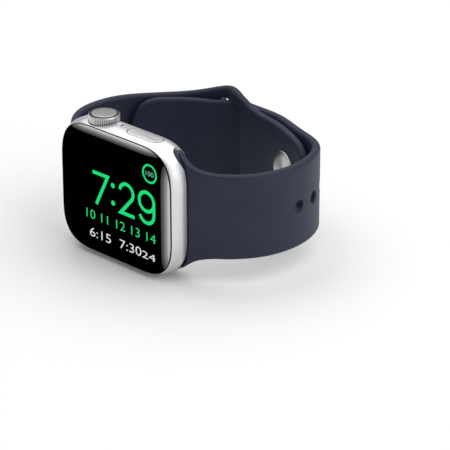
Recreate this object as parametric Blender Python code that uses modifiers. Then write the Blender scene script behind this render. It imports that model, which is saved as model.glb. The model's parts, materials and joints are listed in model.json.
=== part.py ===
"""Smartwatch with a two-piece elastomer band, lying on its flank, crown upwards.

Millimetres are written as N * MM. Inside the watch's own frame, x runs from the
12 o'clock end (-x) to the 6 o'clock end (+x), y runs from the seam between glass
and case towards the back, and z runs up, towards the crown. The empty named
"watch" sets that frame in the world so that the bottom centre is the origin.
"""
import math

import bmesh
import bpy
import numpy as np
from mathutils import Matrix, Vector

MM = 0.001

# ---- case ------------------------------------------------------------------
CASE_HALF_X = 19.9 * MM
CASE_HALF_Z = 17.2 * MM
CASE_CORNER = 11.8 * MM
CORNER_POWER = 2.76
CASE_DEPTH = 8.4 * MM
FLANK_FLAT = (3.2 * MM, 4.4 * MM)
FRONT_BULGE = 4.26 * MM
FRONT_RUN = 5.15 * MM
BACK_BULGE = 3.9 * MM
Z_INSET_SHARE = 0.82
GLASS_RISE = 1.5 * MM
GLASS_SHOULDER = 3.2 * MM
SEAM_GAP = 0.2 * MM
WALL_INNER_Z = 15.0 * MM
RIM_INSET = 2.3 * MM
CAVITY_HALF_X = 14.3 * MM
BACK_PLATE_HALF = (14.9 * MM, 13.6 * MM)
BACK_PLATE_DEPTH = 0.8 * MM

# ---- clearances ------------------------------------------------------------
FIT = 0.1 * MM
RUN = 0.15 * MM
REACH = 6.0 * MM

# ---- crown and button ------------------------------------------------------
CROWN_X = -8.2 * MM
CROWN_Y = 4.16 * MM
CROWN_RADIUS = 3.87 * MM
CROWN_FLOOR_Z = 16.1 * MM
CROWN_TOP_Z = 18.9 * MM
CROWN_TEETH = 36
CROWN_CAP_RADIUS = 3.12 * MM
SHAFT_RADIUS = 1.2 * MM
BUTTON_X = 6.47 * MM
BUTTON_Y = 3.8 * MM
BUTTON_HALF_LENGTH = 5.42 * MM
BUTTON_RADIUS = 1.95 * MM
MICROPHONE_X = -2.2 * MM
MICROPHONE_Y = 4.3 * MM

# ---- band ------------------------------------------------------------------
LUG_X = 17.3 * MM
LUG_Y = 5.3 * MM
CHANNEL_RADIUS = 2.1 * MM
INSERT_RADIUS = 1.95 * MM
LUG_MOUTH = (4.25 * MM, 6.75 * MM)
INSERT_HALF_LENGTH = 14.4 * MM
NECK_HALF_LENGTH = 10.6 * MM
STRAP_HALF_WIDTH = 10.85 * MM
PIN_SIDE_HALF_WIDTH = 10.5 * MM
TAIL_NARROWING = 0.7 * MM
ROOT_LENGTH = 5.0 * MM
ROOT_NARROWING = 0.2 * MM
ROOT_TRIM_X = 19.3 * MM
ROOT_TRIM_Y = 6.6 * MM
STRAP_THICKNESS = 2.2 * MM
LAYER_GAP = 0.3 * MM
HOLE_RADIUS = 1.55 * MM
HOLE_COUNT = 7
HOLE_FIRST = 28.9 * MM
HOLE_PITCH = 6.7 * MM
PIN_S = HOLE_FIRST + 4 * HOLE_PITCH
CROSSING_X = -5.6 * MM
CROSSING_RUN = 9.0 * MM
SLOT_HALF_LENGTH = 4.3 * MM
SLOT_HALF_WIDTH = 10.9 * MM
TAIL_END = 111.5 * MM
TAIL_TIP = 9.0 * MM
TUCK_END = 42.5 * MM
TUCK_TIP = 17.0 * MM
TIP_POWER = 2.3
PLATE_RADIUS = 5.0 * MM
LATCH_X = 16.6 * MM
LATCH_TRAVEL = 0.45 * MM

# outer surface of the fastened band, seen along the wrist opening
LOOP = [(20.3, 4.4), (26.6, 8.5), (32.7, 15.4), (35.2, 25.0), (33.4, 34.9), (29.0, 41.1), (19.7, 45.0),
        (10.2, 48.2), (0.5, 49.0), (-9.5, 48.65), (-18.8, 44.1), (-26.2, 36.6), (-30.45, 30.0), (-31.9, 22.4),
        (-30.75, 15.8), (-26.95, 10.1), (-20.3, 4.4)]

BOX_CENTRE_X = 1.66 * MM
BOX_CENTRE_Y = 23.78 * MM

MATERIALS = {
    "aluminium": ((0.78, 0.78, 0.79), 0.32, 1.0),
    "glass": ((0.012, 0.012, 0.014), 0.05, 0.0),
    "display": ((0.01, 0.01, 0.012), 0.3, 0.0),
    "elastomer": ((0.035, 0.038, 0.062), 0.5, 0.0),
    "steel": ((0.6, 0.6, 0.6), 0.25, 1.0),
    "ceramic": ((0.82, 0.82, 0.83), 0.25, 0.0),
    "crystal": ((0.03, 0.03, 0.035), 0.08, 0.0),
    "seal": ((0.02, 0.02, 0.02), 0.6, 0.0),
    "copper": ((0.72, 0.36, 0.2), 0.35, 1.0),
    "board": ((0.02, 0.09, 0.05), 0.5, 0.0),
    "module": ((0.08, 0.08, 0.085), 0.4, 0.0),
    "cell": ((0.1, 0.1, 0.11), 0.45, 0.0),
}


# ---- scene -----------------------------------------------------------------
def clear_scene():
    for item in list(bpy.data.objects):
        bpy.data.objects.remove(item, do_unlink=True)


def new_collection(name):
    group = bpy.data.collections.new(name)
    bpy.context.scene.collection.children.link(group)
    return group


def new_material(name):
    colour, roughness, metallic = MATERIALS[name]
    material = bpy.data.materials.new(name)
    material.use_nodes = True
    shader = material.node_tree.nodes["Principled BSDF"]
    shader.inputs["Base Color"].default_value = (*colour, 1.0)
    shader.inputs["Roughness"].default_value = roughness
    shader.inputs["Metallic"].default_value = metallic
    return material


clear_scene()
PARTS = new_collection("smartwatch")
CUTTERS = new_collection("cutters")
PAINT = {name: new_material(name) for name in MATERIALS}


def empty(name, place, parent=None):
    item = bpy.data.objects.new(name, None)
    item.empty_display_size = 2 * MM
    PARTS.objects.link(item)
    item.location = place
    item.parent = parent
    return item


WATCH = empty("watch", (-BOX_CENTRE_X, -BOX_CENTRE_Y, CASE_HALF_Z))


def settle(item, material, parent=WATCH):
    """File an object as a part of the watch, or as a cutter when it has no material."""
    for group in list(item.users_collection):
        group.objects.unlink(item)
    item.parent = parent
    if material is None:
        CUTTERS.objects.link(item)
        item.hide_render = True
        item.display_type = "WIRE"
        return item
    PARTS.objects.link(item)
    item.data.materials.clear()
    item.data.materials.append(PAINT[material])
    return item


# ---- shapes ----------------------------------------------------------------
def mesh_object(name, work, material, parent=WATCH):
    bmesh.ops.recalc_face_normals(work, faces=work.faces)
    mesh = bpy.data.meshes.new(name)
    work.to_mesh(mesh)
    work.free()
    mesh.shade_smooth()
    mesh.set_sharp_from_angle(angle=math.radians(35))
    item = bpy.data.objects.new(name, mesh)
    bpy.context.scene.collection.objects.link(item)
    return settle(item, material, parent)


def loft(name, rings, material, parent=WATCH, strip_caps=False):
    """Closed skin over rings of points; the ends are one flat face each, or strips across the ring."""
    work = bmesh.new()
    loops = [[work.verts.new(point) for point in ring] for ring in rings]
    for low, high in zip(loops[:-1], loops[1:]):
        for i in range(len(low)):
            j = (i + 1) % len(low)
            work.faces.new((low[i], low[j], high[j], high[i]))
    for loop in (loops[0], loops[-1]):
        if not strip_caps:
            work.faces.new(loop)
            continue
        count = len(loop)
        for i in range(count // 2):
            corners = [loop[k % count] for k in (i, i + 1, count - i - 1, count - i)]
            work.faces.new(list(dict.fromkeys(corners)))
    return mesh_object(name, work, material, parent)


def rounded_outline(half_x, half_z, corner, steps=8):
    """Rounded rectangle whose corners are superellipses, as (x, z) pairs."""
    points = []
    for sign_x, sign_z, forward in ((1, 1, True), (-1, 1, False), (-1, -1, True), (1, -1, False)):
        turns = range(steps + 1) if forward else range(steps, -1, -1)
        for k in turns:
            turn = 0.5 * math.pi * k / steps
            reach_x = corner * max(math.cos(turn), 0.0) ** (2 / CORNER_POWER)
            reach_z = corner * max(math.sin(turn), 0.0) ** (2 / CORNER_POWER)
            points.append((sign_x * (half_x - corner + reach_x), sign_z * (half_z - corner + reach_z)))
    return points


def case_outline(inset, steps=8):
    return rounded_outline(CASE_HALF_X - inset, CASE_HALF_Z - Z_INSET_SHARE * inset, CASE_CORNER - inset,
                           steps)


def case_inset(y):
    """How far the case's side has curved in at depth y."""
    if y < FLANK_FLAT[0]:
        share, bulge = (FLANK_FLAT[0] - y) / FRONT_RUN, FRONT_BULGE
    else:
        share, bulge = max(0.0, y - FLANK_FLAT[1]) / (CASE_DEPTH - FLANK_FLAT[1]), BACK_BULGE
    return bulge * (1 - math.sqrt(max(0.0, 1 - share * share)))


def case_end_x(z):
    """The case's end face at height z, on its widest outline."""
    over = max(0.0, abs(z) - (CASE_HALF_Z - CASE_CORNER)) / CASE_CORNER
    return CASE_HALF_X - CASE_CORNER + CASE_CORNER * max(0.0, 1 - over ** CORNER_POWER) ** (1 / CORNER_POWER)


def slab(name, outline, low, high, material, parent=WATCH):
    """Outline in x and z, from depth low to depth high."""
    return loft(name, [[(x, y, z) for x, z in outline] for y in (low, high)], material, parent)


def stadium(half_length, radius, steps=8):
    """Long-round outline in x and y about its centre."""
    points = []
    for side in (1, -1):
        for k in range(steps + 1):
            turn = math.pi * k / steps - 0.5 * math.pi
            points.append((side * (half_length - radius + radius * math.cos(turn)),
                           side * radius * math.sin(turn)))
    return points


def long_round(name, centre, levels, material, parent=WATCH):
    """Stepped long-round column along z; levels hold (z, half_length, radius)."""
    rings = [[(centre[0] + x, centre[1] + y, z) for x, y in stadium(half, radius)] for z, half,
             radius in levels]
    return loft(name, rings, material, parent)


def box(name, low, high, material, parent=WATCH, bevel=0.0):
    bpy.ops.mesh.primitive_cube_add(size=1)
    item = bpy.context.object
    item.name = name
    size = [b - a for a, b in zip(low, high)]
    item.data.transform(Matrix.Diagonal((*size, 1.0)))
    item.location = [(a + b) / 2 for a, b in zip(low, high)]
    settle(item, material, parent)
    if bevel:
        edge = item.modifiers.new("rounded edges", "BEVEL")
        edge.width = bevel
        edge.segments = 2
    return item


def turned(name, profile, place, axis, material, parent=WATCH, steps=32):
    """Solid of revolution: profile holds (radius, height) from the top down the outer side."""
    mesh = bpy.data.meshes.new(name)
    mesh.from_pydata([(r, 0, h) for r, h in profile], [(i, i + 1) for i in range(len(profile) - 1)], [])
    if profile[0][0] > 0:
        mesh.clear_geometry()
        count = len(profile)
        mesh.from_pydata([(r, 0, h) for r, h in profile], [(i, (i + 1) % count) for i in range(count)], [])
    item = bpy.data.objects.new(name, mesh)
    bpy.context.scene.collection.objects.link(item)
    screw = item.modifiers.new("turn", "SCREW")
    screw.steps = steps
    screw.render_steps = steps
    screw.use_merge_vertices = True
    screw.merge_threshold = 0.00001
    settle(item, material, parent)
    item.location = place
    item.rotation_euler = Vector((0, 0, 1)).rotation_difference(Vector(axis)).to_euler()
    return item


def disc(name, radius, low, high, place, axis, material, parent=WATCH, steps=32):
    return turned(name, [(0, high), (radius, high), (radius, low), (0, low)], place, axis, material, parent,
                  steps)


def ring(name, inner, outer, low, high, place, axis, material, parent=WATCH, steps=32):
    profile = [(outer, high), (outer, low), (inner, low), (inner, high)]
    return turned(name, profile, place, axis, material, parent, steps)


def combine(item, other, operation):
    step = item.modifiers.new(operation.lower(), "BOOLEAN")
    step.operation = operation
    step.solver = "EXACT"
    step.object = other


def cut(item, *cutters):
    for cutter in cutters:
        combine(item, cutter, "DIFFERENCE")


# ---- case and glass --------------------------------------------------------
def case_solid(name, material, shrink=0.0):
    depths = [CASE_DEPTH * k / 6 for k in (0, 0.45, 0.95, 1.6)]
    depths += list(FLANK_FLAT)
    depths += [FLANK_FLAT[1] + (CASE_DEPTH - FLANK_FLAT[1]) * math.sin(0.5 * math.pi * k / 7)
               for k in range(1, 8)]
    rings = [[(x, y, z) for x, z in case_outline(case_inset(y) + shrink)] for y in depths]
    return loft(name, rings, material)


def make_case():
    case = case_solid("case_body", "aluminium")
    back_z = BACK_PLATE_HALF[1]
    front = slab("front_pocket", case_outline(RIM_INSET), -1 * MM, 1.5 * MM, None)
    core = slab("core_pocket", rounded_outline(CAVITY_HALF_X, WALL_INNER_Z, 2 * MM), 1 * MM, 7.2 * MM, None)
    step = slab("back_step", rounded_outline(BACK_PLATE_HALF[0] + FIT, back_z + FIT, 8 * MM),
                CASE_DEPTH - BACK_PLATE_DEPTH - FIT, CASE_DEPTH + MM, None)
    opening = slab("back_opening", rounded_outline(13.9 * MM, 12.8 * MM, 7.5 * MM), 7 * MM, CASE_DEPTH, None)
    recess = disc("crown_recess", CROWN_RADIUS + RUN, CROWN_FLOOR_Z, 21 * MM, (CROWN_X, CROWN_Y, 0),
                  (0, 0, 1), None)
    bore = disc("crown_bore", 1.95 * MM, 14 * MM, 17 * MM, (CROWN_X, CROWN_Y, 0), (0, 0, 1), None)
    window = long_round("button_window", (BUTTON_X, BUTTON_Y),
                        [(14 * MM, BUTTON_HALF_LENGTH + RUN, BUTTON_RADIUS + RUN),
                         (19 * MM, BUTTON_HALF_LENGTH + RUN, BUTTON_RADIUS + RUN)], None)
    mic = disc("microphone_hole", 0.45 * MM, 14 * MM, 19 * MM, (MICROPHONE_X, MICROPHONE_Y, 0), (0, 0, 1),
               None, steps=16)
    cut(case, front, core, step, opening, recess, bore, window, mic)
    for x in (-6 * MM, 3 * MM):
        slot = long_round("speaker_slot", (x, 3.8 * MM), [(-19 * MM, 3.2 * MM, 0.5 * MM),
                                                          (-14 * MM, 3.2 * MM, 0.5 * MM)],
                          None)
        cut(case, slot)
    for side in (1, -1):
        cut_lug(case, side)
    return case


def cut_lug(case, side):
    """Channel for a band end, its mouth, the latch's groove and the release button's hole."""
    channel = disc("lug_channel", CHANNEL_RADIUS, -20 * MM, 20 * MM, (side * LUG_X, LUG_Y, 0), (0, 0, 1),
                   None, steps=40)
    ends = sorted((side * LUG_X, side * 24 * MM))
    mouth = box("lug_mouth", (ends[0], LUG_MOUTH[0], -20 * MM), (ends[1], LUG_MOUTH[1], 20 * MM), None)
    wide = 0.75 * MM
    groove = box("latch_groove", (side * LATCH_X - wide, 6.5 * MM, -2.5 * MM),
                 (side * LATCH_X + wide, 7.86 * MM, 20 * MM),
                 None)
    hole = release_outline("release_hole", side, 7 * MM, 9 * MM, 0.1 * MM, None)
    cut(case, channel, mouth, groove, hole)


def release_outline(name, side, low, high, grow, material, parent=WATCH, origin=(0, 0, 0)):
    """Long-round button along z at one end of the back."""
    points = stadium(2.4 * MM + grow, 0.95 * MM + grow)
    x0, y0, z0 = origin
    rings = [[(side * LATCH_X + y - x0, depth - y0, x - z0) for x, y in points] for depth in (low, high)]
    return loft(name, rings, material, parent)


def make_glass():
    rows = []
    for k in (0, 0.12, 0.25, 0.42, 0.65, 1):
        rows.append((GLASS_SHOULDER * k, -SEAM_GAP - (GLASS_RISE - SEAM_GAP) * (1 - (1 - k) ** 3)))
    seam = case_inset(0.0)
    rings = [[(x, y, z) for x, z in case_outline(seam + inset)] for inset, y in rows]
    glass = loft("cover_glass", rings, "glass")
    gasket = slab("display_gasket", case_outline(seam + 0.35 * MM), -0.15 * MM, -0.05 * MM, "seal")
    hollow = slab("gasket_opening", case_outline(RIM_INSET - 0.1 * MM), -MM, MM, None)
    cut(gasket, hollow)
    panel_outline = case_outline(RIM_INSET + 0.3 * MM)
    slab("display_panel", panel_outline, 0.2 * MM, 1.1 * MM, "display")


def make_back():
    plate = slab("back_cover", rounded_outline(*BACK_PLATE_HALF, 8 * MM), CASE_DEPTH - BACK_PLATE_DEPTH,
                 CASE_DEPTH, "ceramic")
    hole = disc("crystal_hole", 12.3 * MM, 7 * MM, 9.5 * MM, (0, 0, 0), (0, 1, 0), None, steps=48)
    cut(plate, hole)
    ring("electrode_ring", 11.5 * MM, 12.15 * MM, 7.65 * MM, 8.5 * MM, (0, 0, 0), (0, 1, 0), "steel",
         steps=48)
    dome = [(11.35 * MM * math.sin(0.5 * math.pi * k / 6), 8.5 * MM
             + 0.7 * MM * math.cos(0.5 * math.pi * k / 6))
            for k in range(2, 7)]
    turned("sensor_crystal", [(0, 9.14 * MM)] + dome + [(11.35 * MM, 7.7 * MM), (0, 7.7 * MM)], (0, 0, 0),
           (0, 1, 0),
           "crystal", steps=48)


# ---- crown -----------------------------------------------------------------
def make_crown():
    axis = empty("crown_axis", (CROWN_X, CROWN_Y, 0), WATCH)
    rings = []
    for z, grow in ((16.5, -0.35), (16.75, 0.0), (18.35, 0.0), (18.62, -0.3)):
        points = []
        for k in range(2 * CROWN_TEETH):
            turn = math.pi * k / CROWN_TEETH
            radius = CROWN_RADIUS + grow * MM - (k % 2) * 0.12 * MM
            points.append((radius * math.cos(turn), radius * math.sin(turn), z * MM))
        rings.append(points)
    knob = loft("crown_knob", rings, "aluminium", axis)
    socket = disc("cap_recess", 3.4 * MM, 18.2 * MM, 20 * MM, (0, 0, 0), (0, 0, 1), None, axis)
    bore = disc("shaft_socket", SHAFT_RADIUS + 0.05 * MM, 15 * MM, 18 * MM, (0, 0, 0), (0, 0, 1), None, axis)
    cut(knob, socket, bore)
    profile = [(0, CROWN_TOP_Z), (2.4 * MM, CROWN_TOP_Z - 0.06 * MM),
               (CROWN_CAP_RADIUS, CROWN_TOP_Z - 0.2 * MM),
               (CROWN_CAP_RADIUS, 18.25 * MM), (0, 18.25 * MM)]
    turned("crown_cap", profile, (0, 0, 0), (0, 0, 1), "steel", axis)
    ring("crown_ring", CROWN_CAP_RADIUS + 0.04 * MM, 3.36 * MM, 18.25 * MM, 18.6 * MM, (0, 0, 0), (0, 0, 1),
         "seal", axis)
    disc("crown_shaft", SHAFT_RADIUS, 12.6 * MM, 17.9 * MM, (0, 0, 0), (0, 0, 1), "steel", axis, steps=24)
    disc("crown_thrust_plate", 1.9 * MM, 12.05 * MM, 12.5 * MM, (0, 0, 0), (0, 0, 1), "steel", axis, steps=24)
    place = (CROWN_X, CROWN_Y, 0)
    bushing = [(1.9 * MM, 16.0 * MM), (1.9 * MM, 14.85 * MM), (2.3 * MM, 14.85 * MM), (2.3 * MM, 13.3 * MM),
               (1.27 * MM, 13.3 * MM), (1.27 * MM, 14.1 * MM), (1.6 * MM, 14.1 * MM), (1.6 * MM, 14.6 * MM),
               (1.27 * MM, 14.6 * MM), (1.27 * MM, 16.0 * MM)]
    turned("crown_bushing", bushing, place, (0, 0, 1), "steel", steps=24)
    ring("crown_o_ring", 1.25 * MM, 1.55 * MM, 14.15 * MM, 14.55 * MM, place, (0, 0, 1), "seal", steps=24)
    disc("crown_switch", 1.6 * MM, 10.9 * MM, 11.65 * MM, place, (0, 0, 1), "copper", steps=24)
    box("crown_encoder", (CROWN_X + 2.3 * MM, 2.9 * MM, 12.3 * MM),
        (CROWN_X + 4.2 * MM, 5.4 * MM, 14.6 * MM), "module")


# ---- side button, microphone and speaker -----------------------------------
def make_side_button():
    axis = empty("side_button_axis", (BUTTON_X, BUTTON_Y, 0), WATCH)
    flange = 0.5 * MM
    levels = [(14.3 * MM, BUTTON_HALF_LENGTH + flange, BUTTON_RADIUS + flange),
              (14.85 * MM, BUTTON_HALF_LENGTH + flange, BUTTON_RADIUS + flange),
              (14.85 * MM, BUTTON_HALF_LENGTH, BUTTON_RADIUS),
              (18 * MM, BUTTON_HALF_LENGTH, BUTTON_RADIUS)]
    button = long_round("side_button", (0, 0), levels, "aluminium", axis)
    combine(button, case_solid("flank_shape", None), "INTERSECT")
    box("side_button_switch", (BUTTON_X - 1.5 * MM, BUTTON_Y - 1.2 * MM, 13.2 * MM),
        (BUTTON_X + 1.5 * MM, BUTTON_Y + 1.2 * MM, 13.95 * MM), "copper")
    bracket = box("side_button_bracket", (BUTTON_X - 6 * MM, BUTTON_Y - 1.6 * MM, 12.4 * MM),
                  (BUTTON_X + 6 * MM, BUTTON_Y + 1.6 * MM, 13.1 * MM), "steel")
    for side in (-1, 1):
        hole = disc("bracket_screw_hole", 0.6 * MM, 12 * MM, 14 * MM,
                    (BUTTON_X + side * 4.6 * MM, BUTTON_Y, 0), (0, 0, 1),
                    None, steps=16)
        cut(bracket, hole)
        profile = [(0, 13.55 * MM), (0.95 * MM, 13.45 * MM), (0.95 * MM, 13.15 * MM), (0.5 * MM, 13.15 * MM),
                   (0.5 * MM, 11.6 * MM), (0, 11.6 * MM)]
        turned("bracket_screw_" + ("left", "right")[side > 0], profile,
               (BUTTON_X + side * 4.6 * MM, BUTTON_Y, 0),
               (0, 0, 1), "steel", steps=16)


def make_sound():
    disc("microphone_mesh", 0.8 * MM, 14.68 * MM, 14.9 * MM, (MICROPHONE_X, MICROPHONE_Y, 0), (0, 0, 1),
         "steel", steps=16)
    box("microphone", (MICROPHONE_X - 1.2 * MM, MICROPHONE_Y - 1.4 * MM, 13.5 * MM),
        (MICROPHONE_X + 1.2 * MM, MICROPHONE_Y + 1.4 * MM, 14.58 * MM), "module")
    box("speaker_mesh", (-9.6 * MM, 2.9 * MM, -14.9 * MM), (6.6 * MM, 4.7 * MM, -14.7 * MM), "steel")
    box("speaker", (-9.6 * MM, 2.7 * MM, -14.6 * MM), (6.6 * MM, 6.2 * MM, -10.8 * MM), "module",
        bevel=0.3 * MM)


# ---- inner pieces ----------------------------------------------------------
def make_inner():
    box("main_board", (-13.5 * MM, 1.7 * MM, -10.4 * MM), (13.5 * MM, 2.3 * MM, 10.2 * MM), "board")
    box("battery", (-6.2 * MM, 2.5 * MM, -10.2 * MM), (13.5 * MM, 6.1 * MM, 10.2 * MM), "cell",
        bevel=0.6 * MM)
    housing = box("haptic_housing", (-13.6 * MM, 2.5 * MM, -9.8 * MM), (-6.6 * MM, 6.1 * MM, 9.8 * MM),
                  "steel")
    hollow = box("haptic_hollow", (-13.1 * MM, 3.0 * MM, -9.3 * MM), (-7.1 * MM, 7 * MM, 9.3 * MM), None)
    cut(housing, hollow)
    box("haptic_mass", (-12.9 * MM, 3.2 * MM, -6.6 * MM), (-7.3 * MM, 5.9 * MM, 6.6 * MM), "steel",
        bevel=0.3 * MM)
    disc("alignment_magnet", 4.4 * MM, 6.25 * MM, 6.8 * MM, (0, 0, 0), (0, 1, 0), "steel")
    ring("charging_coil", 4.9 * MM, 9.4 * MM, 6.25 * MM, 6.8 * MM, (0, 0, 0), (0, 1, 0), "copper", steps=40)
    disc("sensor_board", 10.4 * MM, 6.95 * MM, 7.5 * MM, (0, 0, 0), (0, 1, 0), "board", steps=40)


# ---- band ------------------------------------------------------------------
class Loop:
    """Natural cubic spline through the band's outline, measured by arc length."""

    def __init__(self, points):
        knots = np.array(points) * MM
        gaps = np.linalg.norm(np.diff(knots, axis=0), axis=1)
        at = np.concatenate([[0], np.cumsum(gaps)])
        count = len(knots)
        lhs = np.eye(count)
        rhs = np.zeros((count, 2))
        for i in range(1, count - 1):
            lhs[i, i - 1:i + 2] = (gaps[i - 1], 2 * (gaps[i - 1] + gaps[i]), gaps[i])
            rhs[i] = 6 * ((knots[i + 1] - knots[i]) / gaps[i] - (knots[i] - knots[i - 1]) / gaps[i - 1])
        bend = np.linalg.solve(lhs, rhs)
        fine = np.linspace(0, at[-1], 1500)
        piece = np.clip(np.searchsorted(at, fine) - 1, 0, count - 2)
        h = gaps[piece][:, None]
        a = (at[piece + 1] - fine)[:, None]
        b = (fine - at[piece])[:, None]
        self.points = ((bend[piece] * a ** 3 + bend[piece + 1] * b ** 3) / (6 * h)
                       + (knots[piece] / h - bend[piece] * h / 6) * a
                       + (knots[piece + 1] / h - bend[piece + 1] * h / 6) * b)
        self.s = np.concatenate([[0], np.cumsum(np.linalg.norm(np.diff(self.points, axis=0), axis=1))])
        self.length = float(self.s[-1])

    def at(self, s):
        """Point on the outer surface and the unit normal into the wrist opening."""
        s = min(max(s, 0.0), self.length)
        x, y = (float(np.interp(s, self.s, self.points[:, i])) for i in (0, 1))
        step = 0.4 * MM
        ends = [[float(np.interp(min(max(t, 0), self.length), self.s, self.points[:, i])) for i in (0, 1)]
                for t in (s - step, s + step)]
        along = Vector((ends[1][0] - ends[0][0], ends[1][1] - ends[0][1], 0)).normalized()
        return Vector((x, y, 0)), Vector((-along.y, along.x, 0))

    def where_x(self, x):
        """Arc length of the far side's point above x."""
        far = [i for i in range(len(self.s)) if self.points[i, 1] > 40 * MM]
        return float(self.s[min(far, key=lambda i: abs(self.points[i, 0] - x))])


BAND = Loop(LOOP)
CROSSING_S = BAND.where_x(CROSSING_X)
MID = 0.5 * STRAP_THICKNESS
INNER_LAYER = STRAP_THICKNESS + LAYER_GAP


def smooth(share):
    share = min(max(share, 0.0), 1.0)
    return share * share * (3 - 2 * share)


def crossing_share(s):
    """0 before the slot, 1 after it."""
    return smooth((s - CROSSING_S) / CROSSING_RUN + 0.5)


def lug_flare(distance):
    """How much wider than its plain half width the band is, this far from the case."""
    corner = 2.4 * MM * math.exp(-distance / (3.0 * MM)) + 2.0 * MM * math.exp(-distance / (0.6 * MM))
    return corner - ROOT_NARROWING * (1 - smooth((distance - ROOT_LENGTH) / ROOT_LENGTH))


def round_tip(distance, length):
    """Share of the full width at a distance from a rounded end."""
    short = min(1.0, max(0.0, 1 - distance / length))
    return (1 - short ** TIP_POWER) ** (1 / TIP_POWER)


def hole_side_section(s):
    """Depth below the outer surface, and half width, of the strap with the holes."""
    width = STRAP_HALF_WIDTH + lug_flare(s) - TAIL_NARROWING * smooth((s - CROSSING_S) / (8 * MM))
    return MID + INNER_LAYER * crossing_share(s), width * round_tip(TAIL_END - s, TAIL_TIP)


def pin_side_section(s):
    """The same for the strap with the pin, whose slot the other strap passes through."""
    past_hill = s - CROSSING_S + 1.1 * MM
    run = 11.0 * MM if past_hill > 0 else 6.25 * MM
    width = PIN_SIDE_HALF_WIDTH + lug_flare(BAND.length - s) + 3.85 * MM * math.exp(-(past_hill / run) ** 2)
    return MID + INNER_LAYER * (1 - crossing_share(s)), width * round_tip(s - TUCK_END, TUCK_TIP)


def hug_case(s_from_lug, z):
    """How far the strap's root draws back to follow the case's rounded corner."""
    return (CASE_HALF_X - case_end_x(z)) * max(0.0, 1 - s_from_lug / ROOT_LENGTH) ** 2


def strap_profile(half):
    """Heights and half thicknesses across the strap, from one rounded edge to the other."""
    edge = min(MID, half)
    rows = [(half - edge + edge * math.cos(turn), MID * math.sin(turn)) for turn in (0, 0.8, 0.5 * math.pi)]
    rows += [((half - edge) * share, MID) for share in (0.8, 0.6, 0)]
    return rows + [(-z, thick) for z, thick in rows[-2::-1]]


def strap_ring(s, section, side):
    depth, half = section(s)
    outer, inward = BAND.at(s)
    centre = outer + inward * depth
    root = s if side > 0 else BAND.length - s
    profile = strap_profile(half)
    points = []
    for face, rows in ((-1, profile), (1, profile[-2:0:-1])):
        for z, thick in rows:
            point = centre + inward * (face * thick)
            points.append((point.x - side * hug_case(root, z), point.y, z))
    return points


def strap_stations(start, finish, tip_length):
    """Arc lengths from start to finish, closer together where an end is rounded."""
    body = 2.6 * MM
    count = max(2, round(abs(finish - start - tip_length) / body))
    straight = [start + (finish - tip_length - start) * k / count for k in range(count)]
    tip = [finish - tip_length * (1 - math.sin(0.5 * math.pi * k / 7)) for k in range(7)]
    return straight + tip + [finish - 0.02 * tip_length]


def lug_piece(side):
    """The band end's rod, shaped to the case, and its neck, as cutters to be united."""
    rod = disc("lug_rod", INSERT_RADIUS, -INSERT_HALF_LENGTH, INSERT_HALF_LENGTH, (side * LUG_X, LUG_Y, 0),
               (0, 0, 1), None, steps=32)
    combine(rod, case_solid("rod_limit", None, 0.1 * MM), "INTERSECT")
    plan = [(17.4, 4.41), (19.3, 4.41), (20.6, 5.1), (20.3, 6.3), (19.6, 6.58), (17.4, 6.58)]
    ends = (-NECK_HALF_LENGTH, NECK_HALF_LENGTH)
    neck = loft("lug_neck", [[(side * x * MM, y * MM, z) for x, y in plan] for z in ends], None)
    return rod, neck


def drill(name, s, radius, low, high):
    """Round cutter along the band's inward normal, between two depths."""
    outer, inward = BAND.at(s)
    return disc(name, radius, low, high, outer, inward, None, steps=24)


def make_straps():
    slide = empty("band_slide", (0, 0, 0), WATCH)
    stations = strap_stations(0.0, TAIL_END, TAIL_TIP)
    hole_side = loft("strap_hole_side", [strap_ring(s, hole_side_section, 1) for s in stations],
                     "elastomer", slide, True)
    back = strap_stations(0.0, BAND.length - TUCK_END, TUCK_TIP)
    rings = [strap_ring(BAND.length - t, pin_side_section, -1) for t in back]
    pin_side = loft("strap_pin_side", rings, "elastomer", slide, True)
    for strap, side in ((hole_side, 1), (pin_side, -1)):
        ends = sorted((side * 16 * MM, side * ROOT_TRIM_X))
        cut(strap, box("root_trim", (ends[0], ROOT_TRIM_Y, -20 * MM), (ends[1], 9 * MM, 20 * MM), None))
        for piece in lug_piece(side):
            combine(strap, piece, "UNION")
        pocket = box("latch_pocket", (side * LATCH_X - 0.7 * MM, 5.7 * MM, -1.9 * MM),
                     (side * LATCH_X + 0.7 * MM, 8 * MM, 1.9 * MM), None)
        cut(strap, pocket)
    for k in range(HOLE_COUNT):
        cut(hole_side, drill("band_hole", HOLE_FIRST + k * HOLE_PITCH, HOLE_RADIUS, -3 * MM, 3.4 * MM))
    outer, inward = BAND.at(CROSSING_S)
    slot = box("band_slot", (-SLOT_HALF_LENGTH, -REACH, -SLOT_HALF_WIDTH),
               (SLOT_HALF_LENGTH, REACH, SLOT_HALF_WIDTH), None)
    slot.location = outer + inward * (MID + 0.5 * INNER_LAYER)
    slot.rotation_euler = (0, 0, math.atan2(-inward.x, inward.y))
    cut(pin_side, slot)
    inner_face = INNER_LAYER + STRAP_THICKNESS
    cut(pin_side, drill("stud_hole", PIN_S, 1.55 * MM, INNER_LAYER - MM, inner_face + MM),
        drill("plate_recess", PIN_S, PLATE_RADIUS + 0.12 * MM, inner_face - 0.35 * MM, inner_face + 2 * MM))
    make_pin(inner_face, slide)


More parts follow.
